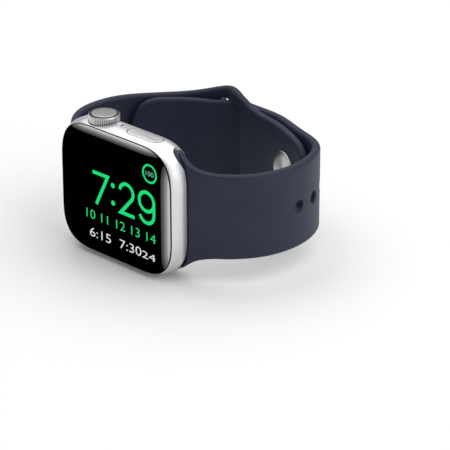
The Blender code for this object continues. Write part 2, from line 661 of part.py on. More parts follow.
def make_pin(inner_face, slide):
    outer, inward = BAND.at(PIN_S)
    stud = [(0, inner_face - 0.3 * MM), (1.4 * MM, inner_face - 0.3 * MM), (1.4 * MM, -0.12 * MM),
            (1.95 * MM, -0.12 * MM),
            (1.9 * MM, -0.5 * MM), (1.3 * MM, -0.8 * MM), (0, -0.85 * MM)]
    turned("pin_stud", stud, outer, inward, "steel", slide, steps=24)
    plate = [(0, inner_face + 0.42 * MM), (PLATE_RADIUS - 0.35 * MM, inner_face + 0.38 * MM),
             (PLATE_RADIUS, inner_face + 0.15 * MM), (PLATE_RADIUS, inner_face - 0.22 * MM),
             (0, inner_face - 0.22 * MM)]
    turned("pin_plate", plate, outer, inward, "steel", slide, steps=40)


def make_latches():
    for side, label in ((1, "six"), (-1, "twelve")):
        box("latch_tab_" + label, (side * LATCH_X - 0.6 * MM, 5.9 * MM + LATCH_TRAVEL, -1.75 * MM),
            (side * LATCH_X + 0.6 * MM, 7.74 * MM, 1.75 * MM), "steel", bevel=0.12 * MM)
        origin = (side * LATCH_X, 8.0 * MM, 0)
        button = release_outline("release_button_" + label, side, 7.92 * MM, 8.38 * MM, 0, "aluminium",
                                 WATCH, origin)
        button.location = origin


make_case()
make_glass()
make_back()
make_crown()
make_side_button()
make_sound()
make_inner()
make_straps()
make_latches()
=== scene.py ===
"""Looks of the smartwatch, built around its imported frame.

Lengths are written as N * MM. In the watch's own frame x runs from the 12 o'clock
end to the 6 o'clock end, y from the seam between glass and case towards the back,
and z up, towards the crown. ORIGIN is where that frame stands in the world.
"""
import json
import math

import bmesh
import bpy
import numpy as np
from mathutils import Matrix, Vector


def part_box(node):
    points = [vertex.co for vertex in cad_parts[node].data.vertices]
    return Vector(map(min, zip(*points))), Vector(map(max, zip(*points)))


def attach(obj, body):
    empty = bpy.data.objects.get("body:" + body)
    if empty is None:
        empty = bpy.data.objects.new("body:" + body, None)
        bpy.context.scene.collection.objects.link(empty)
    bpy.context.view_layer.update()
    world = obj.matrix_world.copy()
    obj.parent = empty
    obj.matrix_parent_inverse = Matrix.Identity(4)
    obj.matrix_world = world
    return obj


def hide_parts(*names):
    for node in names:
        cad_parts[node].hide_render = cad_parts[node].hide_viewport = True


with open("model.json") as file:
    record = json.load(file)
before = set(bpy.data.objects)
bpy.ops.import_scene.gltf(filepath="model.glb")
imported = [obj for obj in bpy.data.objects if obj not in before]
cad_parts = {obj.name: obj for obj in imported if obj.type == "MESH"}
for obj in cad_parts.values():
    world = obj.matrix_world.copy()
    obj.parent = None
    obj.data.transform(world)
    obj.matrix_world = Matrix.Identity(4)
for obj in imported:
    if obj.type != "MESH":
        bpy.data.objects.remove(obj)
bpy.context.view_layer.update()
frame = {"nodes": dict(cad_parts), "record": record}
MM = 0.001
CASE_LOW, CASE_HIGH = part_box("case_body")
ORIGIN = Vector(((CASE_LOW.x + CASE_HIGH.x) / 2, CASE_LOW.y, (CASE_LOW.z + CASE_HIGH.z) / 2))

# ---- sizes shared with the CAD ---------------------------------------------
CASE_HALF_X = 19.9 * MM
CASE_HALF_Z = 17.2 * MM
CASE_CORNER = 11.8 * MM
CORNER_POWER = 2.76
CASE_DEPTH = 8.4 * MM
FLANK_FLAT = (3.2 * MM, 4.4 * MM)
FRONT_BULGE = 4.26 * MM
FRONT_RUN = 5.15 * MM
BACK_BULGE = 3.9 * MM
Z_INSET_SHARE = 0.82
GLASS_RISE = 1.5 * MM
GLASS_SHOULDER = 3.2 * MM
SEAM_GAP = 0.2 * MM
RIM_INSET = 2.3 * MM
CAVITY_HALF = (14.3 * MM, 15.0 * MM)
BACK_PLATE_HALF = (14.9 * MM, 13.6 * MM)
BACK_PLATE_DEPTH = 0.8 * MM
RUN = 0.15 * MM
CROWN_X = -8.2 * MM
CROWN_Y = 4.16 * MM
CROWN_RADIUS = 3.87 * MM
CROWN_FLOOR_Z = 16.1 * MM
CROWN_TOP_Z = 18.9 * MM
BUTTON_X = 6.47 * MM
BUTTON_Y = 3.8 * MM
BUTTON_HALF_LENGTH = 5.42 * MM
BUTTON_RADIUS = 1.95 * MM
MICROPHONE = (-2.2 * MM, 4.3 * MM)
LUG_X = 17.3 * MM
LUG_Y = 5.3 * MM
CHANNEL_RADIUS = 2.1 * MM
INSERT_RADIUS = 1.95 * MM
LUG_MOUTH = (4.25 * MM, 6.75 * MM)
STRAP_HALF_WIDTH = 10.85 * MM
PIN_SIDE_HALF_WIDTH = 10.5 * MM
TAIL_NARROWING = 0.7 * MM
TAIL_NARROWING_RUN = 8 * MM
ROOT_LENGTH = 5.0 * MM
ROOT_NARROWING = 0.2 * MM
ROOT_STEP = 0.25 * MM
STRAP_STEP = 0.9 * MM
NECK_HALF_LENGTH = 10.6 * MM
NECK_PLAN = ((17.4, 4.41), (19.3, 4.41), (20.6, 5.1), (20.3, 6.3), (19.6, 6.58), (17.4, 6.58))
STRAP_THICKNESS = 2.2 * MM
LAYER_GAP = 0.3 * MM
HOLE_RADIUS = 1.55 * MM
HOLE_COUNT = 7
HOLE_FIRST = 28.9 * MM
HOLE_PITCH = 6.7 * MM
HOLE_RIM = 0.3 * MM
HOLE_OVERSHOOT = 0.45 * MM
PIN_S = HOLE_FIRST + 4 * HOLE_PITCH
CROSSING_X = -5.6 * MM
CROSSING_RUN = 9.0 * MM
SLOT_HALF = (4.3 * MM, 10.9 * MM)
SLOT_CORNER = 1.2 * MM
SLOT_DEPTHS = (-6 * MM, 8 * MM)
HILL_HEIGHT = 3.85 * MM
HILL_SHIFT = 1.1 * MM
HILL_RUNS = (6.25 * MM, 11.0 * MM)
TAIL_END = 111.5 * MM
TAIL_TIP = 9.0 * MM
TUCK_END = 42.5 * MM
TUCK_TIP = 17.0 * MM
TIP_POWER = 2.3
EDGE_POWER = 2.3
PLATE_RADIUS = 5.0 * MM
PLATE_CLEARANCE = 0.12 * MM
STUD_HOLE_RADIUS = 1.55 * MM
LATCH_X = 16.6 * MM

# outer surface of the fastened band, seen along the wrist opening
LOOP = [(20.3, 4.4), (26.6, 8.5), (32.7, 15.4), (35.2, 25.0), (33.4, 34.9), (29.0, 41.1), (19.7, 45.0),
        (10.2, 48.2), (0.5, 49.0), (-9.5, 48.65), (-18.8, 44.1), (-26.2, 36.6), (-30.45, 30.0), (-31.9, 22.4),
        (-30.75, 15.8), (-26.95, 10.1), (-20.3, 4.4)]

# half sizes of the cover's dark flat, depth of its black border, and the greys of the painted reflection on
# its edge strips, from flat to seam
SCREEN_HALF = (16.8 * MM, 14.95 * MM)
GLASS_BORDER = 0.38 * MM
EDGE_REFLECTION_GREYS = ((0.0, 0.035), (0.3, 0.11), (0.6, 0.30), (1.0, 0.80))

# how light the sensor crystal is from its middle (0) to its reach (1)
SENSOR_REACH = 12 * MM
SENSOR_GREYS = ((0.0, 0.03), (0.20, 0.004), (0.24, 0.016), (0.44, 0.004), (0.47, 0.026), (0.70, 0.004),
                (0.80, 0.010), (0.83, 0.004))

# ---- camera ----------------------------------------------------------------
CAMERA_PLACE = Vector((384.58, -359.35, 229.0)) * MM
CAMERA_AZIMUTH = math.radians(44.081)
CAMERA_ELEVATION = math.radians(24.193)
CAMERA_LENS = 189.47


def add_camera():
    data = bpy.data.cameras.new("camera")
    data.lens = CAMERA_LENS
    data.clip_start = 0.01
    camera = bpy.data.objects.new("camera", data)
    bpy.context.scene.collection.objects.link(camera)
    level = math.cos(CAMERA_ELEVATION)
    forward = Vector((-math.sin(CAMERA_AZIMUTH) * level, math.cos(CAMERA_AZIMUTH) * level,
                      -math.sin(CAMERA_ELEVATION)))
    camera.rotation_euler = forward.to_track_quat("-Z", "Y").to_euler()
    camera.location = ORIGIN + CAMERA_PLACE
    bpy.context.scene.camera = camera


def add_floor():
    size = 4.0
    mesh = bpy.data.meshes.new("floor")
    half = size / 2
    mesh.from_pydata([(-half, -half, 0), (half, -half, 0), (half, half, 0), (-half, half, 0)], [],
                     [(0, 1, 2, 3)])
    floor = bpy.data.objects.new("floor", mesh)
    bpy.context.scene.collection.objects.link(floor)
    mesh.materials.append(plain_material("floor_paint", (0.93, 0.93, 0.93), 0.7))


def area_light(name, place, target, size, power):
    data = bpy.data.lights.new(name, "AREA")
    data.shape = "RECTANGLE"
    data.size, data.size_y = size
    data.energy = power
    light = bpy.data.objects.new(name, data)
    bpy.context.scene.collection.objects.link(light)
    light.location = place
    light.rotation_euler = (Vector(target) - Vector(place)).to_track_quat("-Z", "Y").to_euler()


def add_lights():
    bpy.context.scene.view_settings.view_transform = "Standard"
    world = bpy.data.worlds.new("studio")
    bpy.context.scene.world = world
    world.use_nodes = True
    world.node_tree.nodes["Background"].inputs["Color"].default_value = (1.0, 1.0, 1.0, 1.0)
    world.node_tree.nodes["Background"].inputs["Strength"].default_value = 0.42
    centre = (0.0, 0.0, 0.02)
    area_light("overhead", (-0.05, 0.2, 0.9), centre, (2.2, 1.6), 12.6)
    area_light("right_side", (0.75, 0.1, 0.3), centre, (0.7, 0.7), 1.6)


# ---- materials -------------------------------------------------------------
def plain_material(name, colour, roughness, metallic=0.0):
    material = bpy.data.materials.new(name)
    material.use_nodes = True
    shader = material.node_tree.nodes["Principled BSDF"]
    shader.inputs["Base Color"].default_value = (*colour, 1.0)
    shader.inputs["Roughness"].default_value = roughness
    shader.inputs["Metallic"].default_value = metallic
    return material


class Recipe:
    """A material with object-space noise for its colour, roughness and bump."""

    def __init__(self, name, colour, roughness, metallic=0.0):
        self.material = plain_material(name, colour, roughness, metallic)
        self.tree = self.material.node_tree
        self.shader = self.tree.nodes["Principled BSDF"]
        self.place = self.add("ShaderNodeTexCoord").outputs["Object"]

    def add(self, kind):
        return self.tree.nodes.new(kind)

    def link(self, source, target):
        self.tree.links.new(source, target)

    def noise(self, per_metre, detail=3.0, stretch=(1, 1, 1)):
        """Noise with this many features in a metre."""
        mapping = self.add("ShaderNodeMapping")
        mapping.inputs["Scale"].default_value = stretch
        self.link(self.place, mapping.inputs["Vector"])
        texture = self.add("ShaderNodeTexNoise")
        texture.inputs["Scale"].default_value = per_metre
        texture.inputs["Detail"].default_value = detail
        self.link(mapping.outputs["Vector"], texture.inputs["Vector"])
        return texture.outputs["Fac"]

    def ramp(self, source, low, high, colours):
        ramp = self.add("ShaderNodeValToRGB")
        ramp.color_ramp.elements[0].position = low
        ramp.color_ramp.elements[1].position = high
        for element, colour in zip(ramp.color_ramp.elements, colours):
            element.color = (*colour, 1.0)
        self.link(source, ramp.inputs["Fac"])
        return ramp.outputs["Color"]

    def grey_ramp(self, source, stops, shade, interpolation):
        """Base colour from stops of (position, grey), each multiplied by the shade."""
        ramp = self.add("ShaderNodeValToRGB")
        ramp.color_ramp.interpolation = interpolation
        for position, _ in stops[1:-1]:
            ramp.color_ramp.elements.new(position)
        for element, (position, grey) in zip(ramp.color_ramp.elements, stops):
            element.position = position
            element.color = (*(grey * part for part in shade), 1.0)
        self.link(source, ramp.inputs["Fac"])
        self.link(ramp.outputs["Color"], self.shader.inputs["Base Color"])

    def math(self, operation, *values, kind="ShaderNodeMath"):
        """A math node whose inputs are other nodes' outputs or plain values."""
        node = self.add(kind)
        node.operation = operation
        for socket, value in zip(node.inputs, values):
            if isinstance(value, bpy.types.NodeSocket):
                self.link(value, socket)
            else:
                socket.default_value = value
        return node.outputs

    def map_range(self, source, from_low, from_high, to_low=0.0, to_high=1.0):
        scale = self.add("ShaderNodeMapRange")
        scale.inputs["From Min"].default_value = from_low
        scale.inputs["From Max"].default_value = from_high
        scale.inputs["To Min"].default_value = to_low
        scale.inputs["To Max"].default_value = to_high
        self.link(source, scale.inputs["Value"])
        return scale.outputs["Result"]

    def radius(self, centre, low, high):
        """0 to 1 as the distance from an upright line through the centre goes from low to high."""
        vector = "ShaderNodeVectorMath"
        centred = self.math("SUBTRACT", self.place, centre, kind=vector)["Vector"]
        flat = self.math("MULTIPLY", centred, (1, 1, 0), kind=vector)["Vector"]
        return self.map_range(self.math("LENGTH", flat, kind=vector)["Value"], low, high)

    def spread(self, source, low, high):
        """The source's middle part, mapped to the range from low to high."""
        return self.map_range(source, 0.3, 0.7, low, high)

    def tint(self, source, dark, light):
        self.link(self.ramp(source, 0.35, 0.65, (dark, light)), self.shader.inputs["Base Color"])

    def rough(self, source, low, high):
        self.link(self.spread(source, low, high), self.shader.inputs["Roughness"])

    def bump(self, source, depth, strength=0.5):
        node = self.add("ShaderNodeBump")
        node.inputs["Strength"].default_value = strength
        node.inputs["Distance"].default_value = depth
        self.link(source, node.inputs["Height"])
        self.link(node.outputs["Normal"], self.shader.inputs["Normal"])

    def set(self, **values):
        for key, value in values.items():
            self.shader.inputs[key.replace("_", " ")].default_value = value


def blasted_aluminium():
    light = (0.71, 0.71, 0.725)
    recipe = Recipe("blasted_aluminium", light, 0.34, 1.0)
    grain = recipe.noise(9000, 2.0)
    cloud = recipe.noise(220, 3.0)
    recipe.tint(cloud, tuple(0.97 * c for c in light), light)
    recipe.rough(grain, 0.30, 0.38)
    recipe.bump(grain, 0.004 * MM, 0.25)
    return recipe.material


def navy_elastomer():
    recipe = Recipe("navy_elastomer", (0.030, 0.035, 0.060), 0.5)
    grain = recipe.noise(5200, 4.0)
    cloud = recipe.noise(140, 3.0)
    recipe.tint(cloud, (0.0160, 0.0195, 0.0430), (0.0190, 0.0228, 0.0490))
    recipe.rough(grain, 0.44, 0.54)
    recipe.bump(grain, 0.006 * MM, 0.3)
    recipe.set(Specular_IOR_Level=0.32, IOR=1.45)
    return recipe.material


def black_glass():
    """The dark flat of the cover, with no reflection of its own."""
    recipe = Recipe("black_glass", (0.0003, 0.0004, 0.0003), 0.05)
    smear = recipe.noise(90, 3.0)
    recipe.rough(smear, 0.03, 0.07)
    recipe.set(Specular_IOR_Level=0.0)
    return recipe.material


def edge_reflection_glass():
    """Edge strips of the cover, with a painted reflection: a grey ramp that lightens towards the seam."""
    recipe = Recipe("edge_reflection_glass", (0.2, 0.2, 0.2), 0.08)
    split = recipe.add("ShaderNodeSeparateXYZ")
    recipe.link(recipe.place, split.inputs["Vector"])
    seam = case_inset(0.0)
    along = recipe.map_range(split.outputs["X"], ORIGIN.x + SCREEN_HALF[0], ORIGIN.x + CASE_HALF_X - seam)
    up = recipe.map_range(split.outputs["Z"], ORIGIN.z + SCREEN_HALF[1],
                          ORIGIN.z + CASE_HALF_Z - Z_INSET_SHARE * seam)
    recipe.grey_ramp(recipe.math("MAXIMUM", along, up)["Value"], EDGE_REFLECTION_GREYS, (1.0, 1.0, 1.02), "LINEAR")
    recipe.rough(recipe.noise(90, 3.0), 0.05, 0.10)
    recipe.set(Specular_IOR_Level=0.15)
    return recipe.material


def lit_pixels(name, colour, strength):
    recipe = Recipe(name, (0.0, 0.0, 0.0), 0.4)
    fine = recipe.noise(14000, 1.0)
    dim = tuple(0.93 * c for c in colour)
    recipe.link(recipe.ramp(fine, 0.35, 0.65, (dim, colour)), recipe.shader.inputs["Emission Color"])
    recipe.set(Emission_Strength=strength, Specular_IOR_Level=0.0)
    return recipe.material


def radial_steel():
    """Turned metal brushed out from its middle, with a painted bow-tie reflection: two light sectors and two
    dark ones.
    """
    recipe = Recipe("radial_steel", (0.62, 0.61, 0.59), 0.3, 1.0)
    split = recipe.add("ShaderNodeSeparateXYZ")
    recipe.link(recipe.place, split.inputs["Vector"])
    turn = recipe.math("ARCTAN2", split.outputs["Y"], split.outputs["X"])["Value"]
    streak = recipe.add("ShaderNodeTexNoise")
    streak.noise_dimensions = "1D"
    streak.inputs["Scale"].default_value = 60.0
    streak.inputs["Detail"].default_value = 4.0
    recipe.link(turn, streak.inputs["W"])
    # painted reflection: two light and two dark sectors around the middle
    highlight_sectors = recipe.math("SINE", recipe.math("MULTIPLY_ADD", turn, 2.0, 0.6)["Value"])["Value"]
    mixed = recipe.math("MULTIPLY_ADD", highlight_sectors, 0.22, streak.outputs["Fac"])["Value"]
    recipe.tint(mixed, (0.30, 0.295, 0.285), (0.80, 0.79, 0.77))
    recipe.rough(streak.outputs["Fac"], 0.22, 0.36)
    tangent = recipe.add("ShaderNodeTangent")
    tangent.direction_type = "RADIAL"
    tangent.axis = "Z"
    recipe.link(tangent.outputs["Tangent"], recipe.shader.inputs["Tangent"])
    recipe.set(Anisotropic=0.85)
    return recipe.material


def valley_shaded_metal(low, high):
    """Blasted metal with painted shade in the valleys between the ridges, darker from the radius high down to
    low.
    """
    recipe = Recipe("valley_shaded_metal", (0.7, 0.7, 0.71), 0.34, 1.0)
    # painted shade: the colour darkens towards the valleys' radius
    share = recipe.radius(ORIGIN + Vector((CROWN_X, CROWN_Y, 0)), low, high)
    ramp = recipe.ramp(share, 0.0, 0.9, ((0.05, 0.05, 0.052), (0.74, 0.74, 0.75)))
    recipe.link(ramp, recipe.shader.inputs["Base Color"])
    recipe.rough(recipe.noise(9000, 2.0), 0.30, 0.38)
    return recipe.material


def satin_steel(name="satin_steel", light=(0.60, 0.60, 0.61), roughness=(0.28, 0.4)):
    recipe = Recipe(name, light, 0.32, 1.0)
    brush = recipe.noise(900, 3.0, (1, 1, 14))
    recipe.tint(brush, tuple(0.9 * c for c in light), light)
    recipe.rough(brush, *roughness)
    recipe.bump(brush, 0.002 * MM, 0.2)
    return recipe.material


def seal_rubber():
    recipe = Recipe("seal_rubber", (0.012, 0.012, 0.013), 0.6)
    grain = recipe.noise(6000, 3.0)
    recipe.tint(grain, (0.009, 0.009, 0.010), (0.016, 0.016, 0.017))
    recipe.rough(grain, 0.5, 0.7)
    recipe.bump(grain, 0.004 * MM, 0.3)
    return recipe.material


def pale_ceramic():
    recipe = Recipe("pale_ceramic", (0.72, 0.72, 0.73), 0.16)
    cloud = recipe.noise(300, 3.0)
    recipe.tint(cloud, (0.70, 0.70, 0.71), (0.74, 0.74, 0.75))
    recipe.rough(cloud, 0.12, 0.2)
    recipe.set(Coat_Weight=0.5, Coat_Roughness=0.05)
    return recipe.material


def dark_crystal():
    """Smoked crystal over the round sensor windows; its own z axis runs out of the case's back."""
    recipe = Recipe("dark_crystal", (0.006, 0.006, 0.008), 0.04)
    windows = recipe.radius((0, 0, 0), 0.0, SENSOR_REACH)
    recipe.grey_ramp(windows, SENSOR_GREYS, (1.0, 0.9, 1.0), "CONSTANT")
    recipe.rough(recipe.noise(260, 3.0), 0.02, 0.05)
    return recipe.material


def moulded(name, dark, light, roughness=(0.4, 0.55)):
    recipe = Recipe(name, light, 0.5)
    grain = recipe.noise(3000, 3.0)
    recipe.tint(grain, dark, light)
    recipe.rough(grain, *roughness)
    recipe.bump(grain, 0.01 * MM, 0.3)
    return recipe.material


def bare_copper():
    recipe = Recipe("bare_copper", (0.72, 0.36, 0.2), 0.35, 1.0)
    turns = recipe.noise(2500, 2.0)
    recipe.tint(turns, (0.55, 0.25, 0.13), (0.8, 0.42, 0.24))
    recipe.rough(turns, 0.25, 0.45)
    return recipe.material


# ---- mesh helpers ----------------------------------------------------------
def new_object(name, mesh):
    item = bpy.data.objects.new(name, mesh)
    bpy.context.scene.collection.objects.link(item)
    return item


def skin(name, rings, closed=False, strip_caps=False):
    """Faces over rings of points in the watch's frame; closed joins the last ring to the first."""
    work = bmesh.new()
    loops = [[work.verts.new(Vector(point) + ORIGIN) for point in ring] for ring in rings]
    pairs = list(zip(loops[:-1], loops[1:]))
    if closed:
        pairs.append((loops[-1], loops[0]))
    for low, high in pairs:
        for i in range(len(low)):
            j = (i + 1) % len(low)
            work.faces.new((low[i], low[j], high[j], high[i]))
    for loop in () if closed else (loops[0], loops[-1]):
        if not strip_caps:
            work.faces.new(loop)
            continue
        count = len(loop)
        for i in range(count // 2):
            corners = [loop[k % count] for k in (i, i + 1, count - i - 1, count - i)]
            work.faces.new(list(dict.fromkeys(corners)))
    bmesh.ops.recalc_face_normals(work, faces=work.faces)
    mesh = bpy.data.meshes.new(name)
    work.to_mesh(mesh)
    work.free()
    return new_object(name, mesh)


def boolean(item, others, operation="DIFFERENCE"):
    """Cuts or joins the others with the item for good, and removes them."""
    for other in others:
        step = item.modifiers.new("step", "BOOLEAN")
        step.operation = operation
        step.solver = "EXACT"
        step.object = other
    graph = bpy.context.evaluated_depsgraph_get()
    mesh = bpy.data.meshes.new_from_object(item.evaluated_get(graph))
    item.modifiers.clear()
    old = item.data
    item.data = mesh
    bpy.data.meshes.remove(old)
    mesh.name = item.name
    for other in others:
        bpy.data.objects.remove(other, do_unlink=True)
    return item


def smooth(item, angle=32):
    item.data.shade_smooth()
    item.data.set_sharp_from_angle(angle=math.radians(angle))
    step = item.modifiers.new("even shading", "WEIGHTED_NORMAL")
    step.keep_sharp = True
    return item


def show(item, material, body, slot, *nodes):
    """Paints a finished piece, puts it on its body and lets it stand for CAD nodes."""
    item.data.materials.clear()
    item.data.materials.append(material)
    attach(item, body)
    if nodes:
        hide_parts(*nodes)
    return item


def turned(name, profile, place, axis, steps=96):
    """Solid of revolution about an axis through place; profile is closed, as (radius, height)."""
    spin = Vector((0, 0, 1)).rotation_difference(Vector(axis)).to_matrix()
    work = bmesh.new()
    count = len(profile)
    rows = []
    for radius, height in profile:
        if radius < 1e-9:
            rows.append([work.verts.new((0, 0, height))] * steps)
            continue
        row = []
        for k in range(steps):
            turn = 2 * math.pi * k / steps
            row.append(work.verts.new((radius * math.cos(turn), radius * math.sin(turn), height)))
        rows.append(row)
    for i in range(count):
        low, high = rows[i], rows[(i + 1) % count]
        for k in range(steps):
            corners = list(dict.fromkeys((low[k], low[(k + 1) % steps], high[(k + 1) % steps], high[k])))
            if len(corners) > 2:
                work.faces.new(corners)
    bmesh.ops.recalc_face_normals(work, faces=work.faces)
    mesh = bpy.data.meshes.new(name)
    work.to_mesh(mesh)
    work.free()
    item = new_object(name, mesh)
    item.matrix_world = Matrix.Translation(ORIGIN + Vector(place)) @ spin.to_4x4()
    return item


def arc(centre_x, centre_z, radius_x, radius_z, start, finish, steps=24):
    points = []
    for k in range(steps + 1):
        turn = math.radians(start + (finish - start) * k / steps)
        points.append((centre_x + radius_x * math.cos(turn), centre_z + radius_z * math.sin(turn)))
    return points


# ---- case ------------------------------------------------------------------
def rounded_outline(half_x, half_z, corner, steps=26):
    """Rounded rectangle whose corners are superellipses, as (x, z) pairs."""
    points = []
    for sign_x, sign_z, forward in ((1, 1, True), (-1, 1, False), (-1, -1, True), (1, -1, False)):
        turns = range(steps + 1) if forward else range(steps, -1, -1)
        for k in turns:
            share = k / steps
            turn = 0.5 * math.pi * (share - 0.07 * math.sin(4 * math.pi * share))
            reach_x = corner * max(math.cos(turn), 0.0) ** (2 / CORNER_POWER)
            reach_z = corner * max(math.sin(turn), 0.0) ** (2 / CORNER_POWER)
            points.append((sign_x * (half_x - corner + reach_x), sign_z * (half_z - corner + reach_z)))
    return points


def case_outline(inset):
    return rounded_outline(CASE_HALF_X - inset, CASE_HALF_Z - Z_INSET_SHARE * inset, CASE_CORNER - inset)


def case_inset(y):
    """How far the case's side has curved in at depth y."""
    if y < FLANK_FLAT[0]:
        share, bulge = (FLANK_FLAT[0] - y) / FRONT_RUN, FRONT_BULGE
    else:
        share, bulge = max(0.0, y - FLANK_FLAT[1]) / (CASE_DEPTH - FLANK_FLAT[1]), BACK_BULGE
    return bulge * (1 - math.sqrt(max(0.0, 1 - share * share)))


def flank_z(y):
    """Height of the crown-side flank at depth y, away from the corners."""
    return CASE_HALF_Z - Z_INSET_SHARE * case_inset(y)


def case_end_x(z):
    """The case's end face at height z, on its widest outline."""
    over = max(0.0, abs(z) - (CASE_HALF_Z - CASE_CORNER)) / CASE_CORNER
    return CASE_HALF_X - CASE_CORNER + CASE_CORNER * max(0.0, 1 - over ** CORNER_POWER) ** (1 / CORNER_POWER)


def case_skin_depths():
    front = [FLANK_FLAT[0] * (1 - math.cos(0.5 * math.pi * k / 9)) for k in range(2, 9)]
    flat = [FLANK_FLAT[0], (FLANK_FLAT[0] + FLANK_FLAT[1]) / 2, FLANK_FLAT[1]]
    run = CASE_DEPTH - FLANK_FLAT[1]
    back = [FLANK_FLAT[1] + run * math.sin(0.5 * math.pi * k / 18) for k in range(1, 19)]
    return front + flat + back


def case_form(name, shrink=0.0):
    """The case's outer form as one closed solid."""
    depths = [0.0] + case_skin_depths()
    return skin(name, [[(x, y, z) for x, z in case_outline(case_inset(y) + shrink)] for y in depths])


def stadium(half_length, radius, steps=20):
    points = []
    for side in (1, -1):
        for k in range(steps + 1):
            turn = math.pi * k / steps - 0.5 * math.pi
            points.append((side * (half_length - radius + radius * math.cos(turn)),
                           side * radius * math.sin(turn)))
    return points


def flank_cutter(name, centre, half_length, radius, floor_z, edge, side=1):
    """Opening in a flank with a softened rim that follows the flank's curve."""
    rings = []
    for grow, drop in ((edge + 0.5 * MM, -0.25 * MM), (edge, -0.015 * MM), (0.3 * edge, 0.3 * edge),
                       (0.0, edge)):
        ring = []
        for x, y in stadium(half_length + grow, radius + grow):
            ring.append((centre[0] + x, centre[1] + y, side * (flank_z(centre[1] + y) - drop)))
        rings.append(ring)
    rings.append([(centre[0] + x, centre[1] + y, side * floor_z) for x, y in stadium(half_length, radius)])
    return skin(name, rings)


def lug_cutter(side):
    """Channel and mouth for a band end, through the whole height of the case."""
    low = math.degrees(math.asin((LUG_MOUTH[0] - LUG_Y) / CHANNEL_RADIUS))
    high = math.degrees(math.asin((LUG_MOUTH[1] - LUG_Y) / CHANNEL_RADIUS))
    plan = arc(LUG_X, LUG_Y, CHANNEL_RADIUS, CHANNEL_RADIUS, high, 360 + low, 48)
    plan += [(24 * MM, LUG_MOUTH[0]), (24 * MM, LUG_MOUTH[1])]
    return skin("lug_cutter", [[(side * x, y, z) for x, y in plan] for z in (-20 * MM, 20 * MM)])


def block(name, low, high):
    ring = [(low[0], low[1]), (high[0], low[1]), (high[0], high[1]), (low[0], high[1])]
    return skin(name, [[(x, y, z) for x, y in ring] for z in (low[2], high[2])])


def column(name, centre, radius, low, high, steps=64):
    ring = arc(centre[0], centre[1], radius, radius, 0, 360 * (1 - 1 / steps), steps - 1)
    return skin(name, [[(x, y, z) for x, y in ring] for z in (low, high)])


def make_case(material):
    seam = case_inset(0.0)
    rings = []
    for inset, y in ((RIM_INSET, 0.0), (seam + 0.06 * MM, 0.0), (seam + 0.015 * MM, 0.015 * MM)):
        rings.append([(x, y, z) for x, z in case_outline(inset)])
    for y in case_skin_depths():
        rings.append([(x, y, z) for x, z in case_outline(case_inset(y))])
    plate = rounded_outline(BACK_PLATE_HALF[0] + 0.1 * MM, BACK_PLATE_HALF[1] + 0.1 * MM, 8 * MM)
    wide = rounded_outline(BACK_PLATE_HALF[0] + 0.22 * MM, BACK_PLATE_HALF[1] + 0.22 * MM, 8.12 * MM)
    step = CASE_DEPTH - BACK_PLATE_DEPTH - 0.1 * MM
    opening = rounded_outline(13.9 * MM, 12.8 * MM, 7.5 * MM)
    core = rounded_outline(*CAVITY_HALF, 2 * MM)
    for outline, y in ((wide, CASE_DEPTH), (plate, CASE_DEPTH - 0.1 * MM), (plate, step), (opening, step),
                       (opening, 7.2 * MM), (core, 7.2 * MM), (core, 1.5 * MM),
                       (case_outline(RIM_INSET), 1.5 * MM)):
        rings.append([(x, y, z) for x, z in outline])
    case = skin("case_shell", rings, closed=True)
    edge = 0.14 * MM
    cutters = [flank_cutter("button_window", (BUTTON_X, BUTTON_Y), BUTTON_HALF_LENGTH + RUN,
                            BUTTON_RADIUS + RUN, 14 * MM, 0.04 * MM),
               flank_cutter("microphone_hole", MICROPHONE, 0.45 * MM, 0.45 * MM, 14 * MM, edge)]
    for x in (-6 * MM, 3 * MM):
        cutters.append(flank_cutter("speaker_slot", (x, 3.8 * MM), 3.2 * MM, 0.5 * MM, 14 * MM, edge, -1))
    centre = (CROWN_X, CROWN_Y)
    cutters.append(column("crown_recess", centre, CROWN_RADIUS + RUN, CROWN_FLOOR_Z, 22 * MM, 96))
    cutters.append(column("crown_bore", centre, 1.95 * MM, 14 * MM, 17 * MM))
    for side in (1, -1):
        cutters.append(lug_cutter(side))
        wide = 0.75 * MM
        cutters.append(block("latch_groove", (side * LATCH_X - wide, 6.5 * MM, -2.5 * MM),
                             (side * LATCH_X + wide, 7.86 * MM, 20 * MM)))
        hole = [(side * LATCH_X + y, x) for x, y in stadium(2.5 * MM, 1.05 * MM)]
        cutters.append(skin("release_hole", [[(x, y, z) for x, z in hole] for y in (7 * MM, 9 * MM)]))
    boolean(case, cutters)
    return show(smooth(case), material, "case", "aluminium", "case_body")


def make_glass(face_material, edge_material):
    """The domed cover, black but for the painted reflection strips along its crown side and its 6 o'clock
    side.
    """
    rings = []
    seam = case_inset(0.0)
    rings.append([(x, -SEAM_GAP + 0.08 * MM, z) for x, z in case_outline(seam + 0.05 * MM)])
    steps = 22
    for k in range(steps + 1):
        share = (k / steps) ** 1.3
        y = -SEAM_GAP - (GLASS_RISE - SEAM_GAP) * (1 - (1 - share) ** 3)
        rings.append([(x, y, z) for x, z in case_outline(seam + GLASS_SHOULDER * share)])
    for inset in (4.2 * MM, 6 * MM):
        rings.append([(x, -GLASS_RISE, z) for x, z in case_outline(seam + inset)])
    glass = skin("domed_glass", rings)
    work = bmesh.new()
    work.from_mesh(glass.data)
    edge_x = ORIGIN.x + SCREEN_HALF[0]
    edge_z = ORIGIN.z + SCREEN_HALF[1]
    for place, normal in (((edge_x, 0, 0), (1, 0, 0)), ((0, 0, edge_z), (0, 0, 1))):
        bmesh.ops.bisect_plane(work, geom=work.verts[:] + work.edges[:] + work.faces[:], plane_co=place,
                               plane_no=normal)
    work.to_mesh(glass.data)
    work.free()
    show(smooth(glass, 50), face_material, "case", "glass", "cover_glass")
    glass.data.materials.append(edge_material)
    for face in glass.data.polygons:
        # faces that get the painted reflection: the shoulder's crown side and 6 o'clock side
        clear = face.center.x > edge_x or face.center.z > edge_z
        if clear and face.center.y < ORIGIN.y - GLASS_BORDER:
            face.material_index = 1


